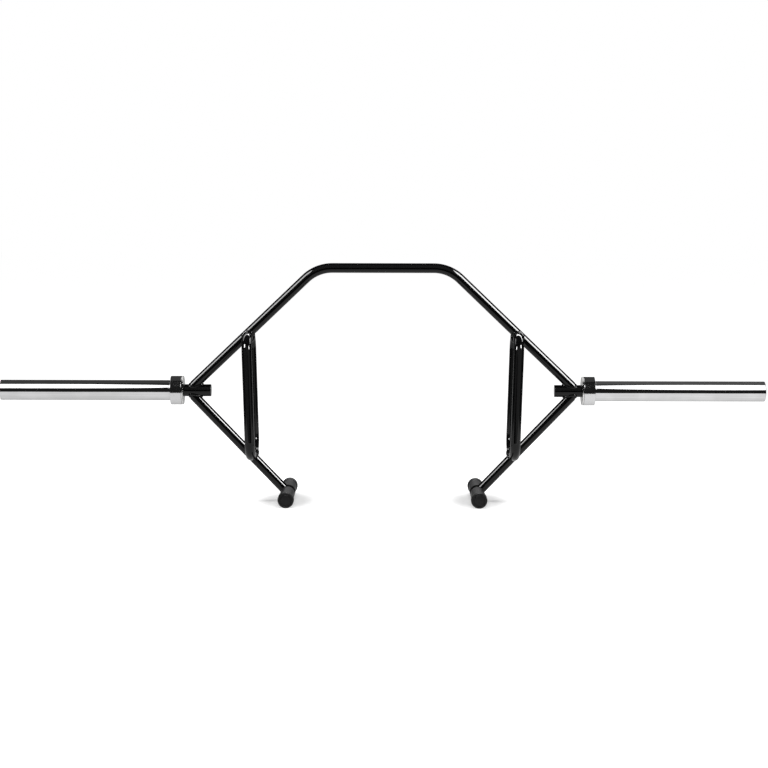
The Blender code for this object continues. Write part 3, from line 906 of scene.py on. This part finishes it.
class TRAPBAR_OT_feet(Operator):
    """Make the foot tubes and their rubber caps"""
    bl_idname = "trap_bar.feet"
    bl_label = "Feet"

    def execute(self, context):
        sizes = context.scene.trap_bar_feet
        inside = FOOT_TUBE_RADIUS - sizes.tube_wall
        tube = [(-FOOT_TUBE_HALF, inside, 0), (-FOOT_TUBE_HALF, FOOT_TUBE_RADIUS, FIT),
                (FOOT_TUBE_HALF, FOOT_TUBE_RADIUS, FIT), (FOOT_TUBE_HALF, inside, 0)]
        bore = FOOT_TUBE_RADIUS + FIT
        floor = CAP_OUTER_END - sizes.end_wall
        lip = CAP_OUTER_END - sizes.lip_length
        rim = CAP_OUTER_END - sizes.dome
        cap = [(floor, 0, 0), (floor, bore, 0), (CAP_INNER_END, bore, 0),
               (CAP_INNER_END, sizes.body_radius, MOULDED_EDGE),
               (lip - CAP_SLOPE, sizes.body_radius, CAP_SLOPE),
               (lip + CAP_SLOPE, CAP_LIP_RADIUS, CAP_SLOPE_TOP), (rim, CAP_LIP_RADIUS, sizes.edge_round)]
        cap += [(rim - depth, CAP_LIP_RADIUS - inset, rounding) for depth, inset, rounding in CAP_GROOVE]
        cap += [(CAP_OUTER_END, DOME_TOP, DOME_ROUND), (CAP_OUTER_END, 0, 0)]
        along = Matrix.Rotation(math.pi / 2, 4, "Z")
        for side, turn in SIDES.items():
            place = turn @ Matrix.Translation(FOOT)
            shape = moved(turned(softened(tube), SMALL_SEGMENTS), place @ along)
            cross_tube = new_object(f"{side}_foot_cross_tube", shape)
            finished(cross_tube, "gloss_black_paint", "frame", f"{side}_foot_tube")
            for face in (-1, 1):
                shape = moved(turned(softened(cap), SLEEVE_SEGMENTS), along)
                if face < 0:
                    moved(shape, Matrix.Rotation(math.pi, 4, "Z"))
                moved(shape, place)
                trimmed(shape, Vector((0, 0, 0)), Vector((0, 0, -1)), 0)
                name = f"{side}_{side_of(face, turn)}_foot_cap"
                finished(new_object(f"{name}_rubber", shape), "black_rubber", "frame", name)
        return {"FINISHED"}


def turned_pieces(name, corners, segments, finish, body, closed=True):
    """The same turned ring or cap on both sides, each in place of the node it is named after."""
    for side, turn in SIDES.items():
        shape = turned(softened(corners, closed), segments)
        item = new_object(f"{side}_{name}_part", moved(shape, turn @ Matrix.Translation(SPINDLE_AXIS)))
        finished(item, finish, body.format(side=side), f"{side}_{name}")


def plain_ring(start, end, bore, radius, edges):
    """The corners of a plain ring, with the roundings of its bore and of its outside."""
    inside, outside = edges
    return [(start, bore, inside), (start, radius, outside), (end, radius, outside), (end, bore, inside)]


class TRAPBAR_OT_sleeves(Operator):
    """Turn the two chromed sleeves"""
    bl_idname = "trap_bar.sleeves"
    bl_label = "Sleeves"

    def execute(self, context):
        sizes = context.scene.trap_bar_sleeves
        relief = COLLAR_END + sizes.relief_distance
        half = sizes.relief_width / 2
        corners = [(SLEEVE_START, sizes.bore_radius, 0), (SLEEVE_START, SLEEVE_RADIUS, HIDDEN_EDGE),
                   (relief - half, SLEEVE_RADIUS, 0), (relief, SLEEVE_RADIUS - FIT, half),
                   (relief + half, SLEEVE_RADIUS, 0), (SLEEVE_END, SLEEVE_RADIUS, sizes.sleeve_edge),
                   (SLEEVE_END, sizes.bore_radius + sizes.mouth, MOUTH_EDGE),
                   (SLEEVE_END - sizes.mouth, sizes.bore_radius, MOUTH_EDGE)]
        turned_pieces("sleeve", corners, SLEEVE_SEGMENTS, "polished_chrome", SLEEVE_BODY)
        return {"FINISHED"}


class TRAPBAR_OT_collars(Operator):
    """Turn the chromed collars and the satin plates on their inboard faces"""
    bl_idname = "trap_bar.collars"
    bl_label = "Collars"

    def execute(self, context):
        sizes = context.scene.trap_bar_sleeves
        edge = sizes.collar_edge
        seam = PLATE_START + sizes.plate_thickness
        bore = SLEEVE_RADIUS + FIT
        corners = [(seam + FIT, bore, 0), (seam + FIT, COLLAR_RADIUS, edge),
                   (COLLAR_END, COLLAR_RADIUS, edge), (COLLAR_END, bore, COLLAR_BORE_EDGE)]
        turned_pieces("collar", corners, SLEEVE_SEGMENTS, "turned_chrome", SLEEVE_BODY)

        bore = SPINDLE_RADIUS + sizes.plate_bore
        corners = [(PLATE_START, bore, PLATE_BORE_EDGE), (PLATE_START, COLLAR_RADIUS, sizes.plate_edge),
                   (seam, COLLAR_RADIUS, edge), (seam, bore, 0)]
        turned_pieces("collar_plate", corners, SLEEVE_SEGMENTS, "satin_steel", SLEEVE_BODY)
        return {"FINISHED"}


class TRAPBAR_OT_end_caps(Operator):
    """Make the caps in the mouths of the sleeves"""
    bl_idname = "trap_bar.end_caps"
    bl_label = "End Caps"

    def execute(self, context):
        sizes = context.scene.trap_bar_sleeves
        disc = END_CAP_END - sizes.cap_disc
        skirt = END_CAP_RADIUS - sizes.cap_wall
        corners = [(END_CAP_END - depth, radius, rounding) for depth, radius, rounding in END_CAP_DISH]
        corners += [(END_CAP_END, END_CAP_RADIUS, MOULDED_EDGE), (END_CAP_START, END_CAP_RADIUS, SKIRT_EDGE),
                    (END_CAP_START, skirt, SKIRT_EDGE), (disc, skirt, MOULDED_FILLET), (disc, 0, 0)]
        turned_pieces("end_cap", corners, SMALL_SEGMENTS, "black_plastic", SLEEVE_BODY, False)
        return {"FINISHED"}


class TRAPBAR_OT_bearings(Operator):
    """Make the bushings and washers, and finish the retaining rings, all inside the sleeves"""
    bl_idname = "trap_bar.bearings"
    bl_label = "Bushings, Washers and Retaining Rings"

    def execute(self, context):
        bore = SPINDLE_RADIUS - context.scene.trap_bar_sleeves.journal_step + FIT
        for place in ("inner", "outer"):
            start, end = (corner.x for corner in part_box(f"right_{place}_bushing"))
            corners = plain_ring(start, end, bore, BUSHING_RADIUS, BUSHING_EDGES)
            turned_pieces(f"{place}_bushing", corners, SMALL_SEGMENTS, "sintered_bronze", SLEEVE_BODY)
            start, end = (corner.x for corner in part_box(f"right_{place}_washer"))
            corners = plain_ring(start, end, bore, WASHER_RADIUS, WASHER_EDGES)
            turned_pieces(f"{place}_washer", corners, SMALL_SEGMENTS, "ground_steel", "frame")
        for side in SIDES:
            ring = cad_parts[f"{side}_circlip"]
            ring.data.materials.clear()
            ring.data.materials.append(finish_named("spring_steel"))
        return {"FINISHED"}


def floor_material(studio):
    """White paper glowing white to the camera, dimmed round the feet as painted shade where their shadows
    show.
    """
    finish = new_finish("studio_paper")
    path = finish.node("ShaderNodeLightPath")
    paper = finish.node("ShaderNodeBsdfDiffuse", None, {"Color": (*studio.paper_colour, 1)})
    across, depth, _ = finish.axes()
    aside = abs(across) - FOOT.x
    from_foot = (aside * aside + depth * depth * SHADOW_STRETCH) ** 0.5
    # Painted shade: the glow is dimmed round each foot, on top of the lamps' shadows there
    faded = from_foot.rise(studio.shadow_start, studio.shadow_end)
    lift = faded * studio.shadow_depth + (PAPER_LIFT - studio.shadow_depth)
    glow_dimmed_at_feet = finish.node("ShaderNodeEmission", None, {"Color": WHITE, "Strength": lift})
    seen = finish.node("ShaderNodeAddShader", None, {0: paper.outputs[0], 1: glow_dimmed_at_feet.outputs[0]})
    blur, half = studio.paper_blur, studio.paper_half_width
    on_paper = depth.rise(studio.paper_front - FRONT_BLUR, studio.paper_front + FRONT_BLUR)
    on_paper = on_paper * (1 - abs(across).rise(half - blur, half + blur))
    # Painted shade and light: what gloss mirrors of the paper is darkened to the rear and brightened to the
    # right
    painted_light_and_shade = 1 - depth.rise(*PAPER_REAR) * REAR_PAINTED_SHADE
    painted_light_and_shade = painted_light_and_shade * (across.rise(*PAPER_RIGHT) * RIGHT_PAINTED_LIGHT + LEFT_GLOW)
    glow = on_paper * painted_light_and_shade * (studio.paper - studio.dark) + studio.dark
    mirrored = finish.node("ShaderNodeEmission", None, {"Strength": glow})
    bounced = finish.layered(path.outputs["Is Glossy Ray"], paper, mirrored)
    return finish.shown(finish.layered(path.outputs["Is Camera Ray"], bounced, seen))


def studio_world(studio):
    """A white background to the camera, and a dark studio to everything else."""
    world = Finish(bpy.data.worlds.new("studio"))
    path = world.node("ShaderNodeLightPath")
    dark, white = (world.node("ShaderNodeBackground", None, {"Color": WHITE, "Strength": strength})
                   for strength in (studio.dark, 1))
    seen = world.layered(path.outputs["Is Camera Ray"], dark, white)
    bpy.context.scene.world = world.shown(seen, "ShaderNodeOutputWorld")


def lamp(name, place, target, size, radiance, roll=0, gloss=None, shape="RECTANGLE"):
    """A soft light on the floor and all pieces, or a reflection for the pieces in gloss alone."""
    data = bpy.data.lights.new(name, "AREA")
    data.shape = shape
    data.size, data.size_y = size
    data.energy = radiance * math.pi * size[0] * size[1]
    item = bpy.data.objects.new(name, data)
    heading = Vector(target) - Vector(place)
    turn = heading.to_track_quat("-Z", "Y").to_matrix().to_4x4() @ Matrix.Rotation(roll, 4, "Z")
    item.matrix_world = Matrix.Translation(place) @ turn
    item.visible_camera = False
    item.visible_glossy = gloss is not None
    item.visible_diffuse = gloss is None
    item.light_linking.receiver_collection = gloss
    bpy.context.scene.collection.objects.link(item)


def collection_of(name, finishes, *words):
    """The pieces with some finishes, or those of them named with one of the words, for their own lights."""
    group = bpy.data.collections.new(name)
    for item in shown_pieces():
        named = not words or any(word in item.name for word in words)
        if named and any(slot.name.removeprefix(FINISH_PREFIX) in finishes for slot in item.data.materials):
            group.objects.link(item)
    return group


class TRAPBAR_OT_studio(Operator):
    """Set up the paper, the white surroundings, the lamps and the camera"""
    bl_idname = "trap_bar.studio"
    bl_label = "Studio"

    def execute(self, context):
        scene = context.scene
        studio = scene.trap_bar_studio
        self.make_stage(studio)
        self.make_lights()
        self.make_camera(scene, studio)
        scene.view_settings.view_transform = "Standard"
        return {"FINISHED"}

    def make_stage(self, studio):
        shape = bmesh.new()
        bmesh.ops.create_grid(shape, x_segments=1, y_segments=1, size=PAPER_HALF)
        paper = new_object("studio_floor", shape)
        paper.data.materials.append(floor_material(studio))
        paper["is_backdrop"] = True
        studio_world(studio)

    def make_lights(self):
        paint = {"gloss_black_paint"}
        groups = {
            "hoop": collection_of("hoop_pieces", paint, "hoop", "spindle", "foot"),
            "arms": collection_of("arm_pieces", paint, "arm"),
            "grips": collection_of("grip_pieces", paint, "grip"),
            "front_grips": collection_of("front_grip_pieces", paint, "front_grip"),
            "matt": collection_of("matt_pieces", {"black_rubber", "black_plastic"}),
            "rubber": collection_of("rubber_pieces", {"black_rubber"}),
            "sleeves": collection_of("sleeve_pieces", {"polished_chrome"}),
            "collars": collection_of("collar_pieces", {"turned_chrome"}),
            "plates": collection_of("plate_pieces", {"satin_steel"}),
        }
        middle = (0, 0, 0.2)
        for use, gloss in (("soft", None), ("matt", groups["matt"])):
            lamp(f"overhead_{use}", (0, 0.25, 2.6), middle, (2.6, 1.2), 4.6, gloss=gloss)
            for name, side in SIDE_LAMPS.items():
                lamp(f"{name}_{use}", (side["way"] * 2.0, -0.3, 1.4), middle, (1.2, 1.2), 4.5, gloss=gloss)
        feet = (0, 0, 0.02)
        lamp("feet_rear", (0, 1.5, 1.2), feet, (3, 1.4), 1.1, gloss=groups["rubber"])
        lamp("feet_top", (0, -0.5, 2.0), feet, (1.2, 0.8), 18, gloss=groups["rubber"])
        lamp("front", (0, -1.6, 1.9), (0, 0, 0.4), (2.4, 2.6), 0.25, gloss=groups["hoop"])
        lamp("collar", (0, -0.9, 1.3), (0, 0, 0.3), (0.5, 0.4), 6, gloss=groups["collars"])
        lamp("plate", (0, 1.3, 1.9), SPINDLE_AXIS, (4, 2.6), 0.9, gloss=groups["plates"])
        for name, side in SIDE_LAMPS.items():
            self.light_bars(name, side, groups)
            self.light_chrome(name, side, groups)

    def light_bars(self, name, side, groups):
        """The streaks and spots on one side's painted bars."""
        way = side["way"]
        place, aim = (way * 1.27, -0.6, 1.35), (way * 0.35, 0, 0.3)
        roll = way * STREAK_ROLL
        lamp(f"{name}_hoop", place, aim, (side["hoop_width"], 0.95), side["hoop"], roll=roll,
             gloss=groups["hoop"])
        lamp(f"{name}_arm", place, aim, (0.8, 0.8), side["arm"], roll=roll, gloss=groups["arms"])
        lamp(f"{name}_grip", (way * 1.27, -0.75, 1.35), aim, (0.58, 0.52), 45, gloss=groups["grips"],
             shape="ELLIPSE")
        lamp(f"{name}_rim", (way * 1.1, 1.5, 1.8), (way * 0.33, 0, 0.4), (2.8, 0.45), side["rim"],
             gloss=groups["front_grips"])
        lamp(f"{name}_front", (way * 0.8, -0.7, 0.6), (way * 0.8, 0, 0.6), (1.6, 1.4), side["front"],
             gloss=groups["grips"], shape="ELLIPSE")

    def light_chrome(self, name, side, groups):
        """The band of light on one side's sleeve, and what its chrome mirrors from other sides."""
        way = side["way"]
        low, high = side["band"]
        tilt = (low + high) / 2
        height = 2 * BAND_DISTANCE * math.tan((high - low) / 2)
        aim = on_axis(way * BAND_MIDDLE)
        place = aim + Vector((0, -math.cos(tilt), math.sin(tilt))) * BAND_DISTANCE
        lamp(f"{name}_band", place, aim, (1.0, height), 1.6, gloss=groups["sleeves"], shape="ELLIPSE")
        lamp(f"{name}_sky", (way * 1.3, 1.3, 1.8), on_axis(way * 1.3), (2.4, 3.6), side["sky"],
             gloss=groups["sleeves"])
        lamp(f"{name}_collar_sky", (way * 0.7, 1.0, 2.0), on_axis(way * 0.7), (1.2, 2.4), 0.04,
             gloss=groups["collars"])
        chrome = collection_of(f"{name}_chrome_pieces", {"polished_chrome", "turned_chrome"}, name)
        for zone, reach, length in (("inner", -0.55, 1.7), ("outer", 2.35, 1.6)):
            aim = on_axis(way * reach)
            for face, depth in (("front", -0.85), ("rear", 0.85)):
                lamp(f"{name}_{zone}_{face}", aim + Vector((0, depth, 1.1)), aim, (length, 0.9), 1.3,
                     gloss=chrome)

    def make_camera(self, scene, studio):
        data = bpy.data.cameras.new("camera")
        data.sensor_width = SENSOR_WIDTH
        data.lens = studio.lens
        data.clip_end = CLIP_END
        camera = bpy.data.objects.new("camera", data)
        pitch = Matrix.Rotation(math.pi / 2 - studio.camera_pitch, 4, "X")
        roll = Matrix.Rotation(studio.camera_roll, 4, "Z")
        camera.matrix_world = Matrix.Translation(studio.camera_place) @ pitch @ roll
        scene.collection.objects.link(camera)
        scene.camera = camera


OPERATORS = (TRAPBAR_OT_hoop, TRAPBAR_OT_arms, TRAPBAR_OT_grips, TRAPBAR_OT_spindles, TRAPBAR_OT_welds,
             TRAPBAR_OT_feet, TRAPBAR_OT_sleeves, TRAPBAR_OT_collars, TRAPBAR_OT_end_caps,
             TRAPBAR_OT_bearings, TRAPBAR_OT_studio)


class TRAPBAR_PT_panel(Panel):
    """The trap bar's pieces and settings"""
    bl_idname = "TRAPBAR_PT_panel"
    bl_label = "Trap Bar"
    bl_space_type = "VIEW_3D"
    bl_region_type = "UI"
    bl_category = "Trap Bar"

    def draw(self, context):
        for operator in OPERATORS:
            self.layout.operator(operator.bl_idname)
        for name, kind in SETTINGS.items():
            box = self.layout.box()
            box.label(text=kind.__doc__)
            for key in kind.__annotations__:
                box.prop(getattr(context.scene, name), key)


SETTINGS = {
    "trap_bar_frame": FrameSizes,
    "trap_bar_welds": WeldSizes,
    "trap_bar_sleeves": SleeveSizes,
    "trap_bar_feet": FootSizes,
    "trap_bar_finishes": Finishes,
    "trap_bar_studio": StudioSettings,
}


def register():
    for item in (*SETTINGS.values(), *OPERATORS, TRAPBAR_PT_panel):
        bpy.utils.register_class(item)
    for name, kind in SETTINGS.items():
        setattr(bpy.types.Scene, name, PointerProperty(type=kind))


def unregister():
    for name in SETTINGS:
        delattr(bpy.types.Scene, name)
    for item in (TRAPBAR_PT_panel, *reversed(OPERATORS), *reversed(SETTINGS.values())):
        bpy.utils.unregister_class(item)


def main():
    register()
    bpy.ops.trap_bar.hoop()
    bpy.ops.trap_bar.arms()
    bpy.ops.trap_bar.grips()
    bpy.ops.trap_bar.spindles()
    bpy.ops.trap_bar.welds()
    bpy.ops.trap_bar.feet()
    bpy.ops.trap_bar.sleeves()
    bpy.ops.trap_bar.collars()
    bpy.ops.trap_bar.end_caps()
    bpy.ops.trap_bar.bearings()
    bpy.ops.trap_bar.studio()


if __name__ == "__main__":
    main()
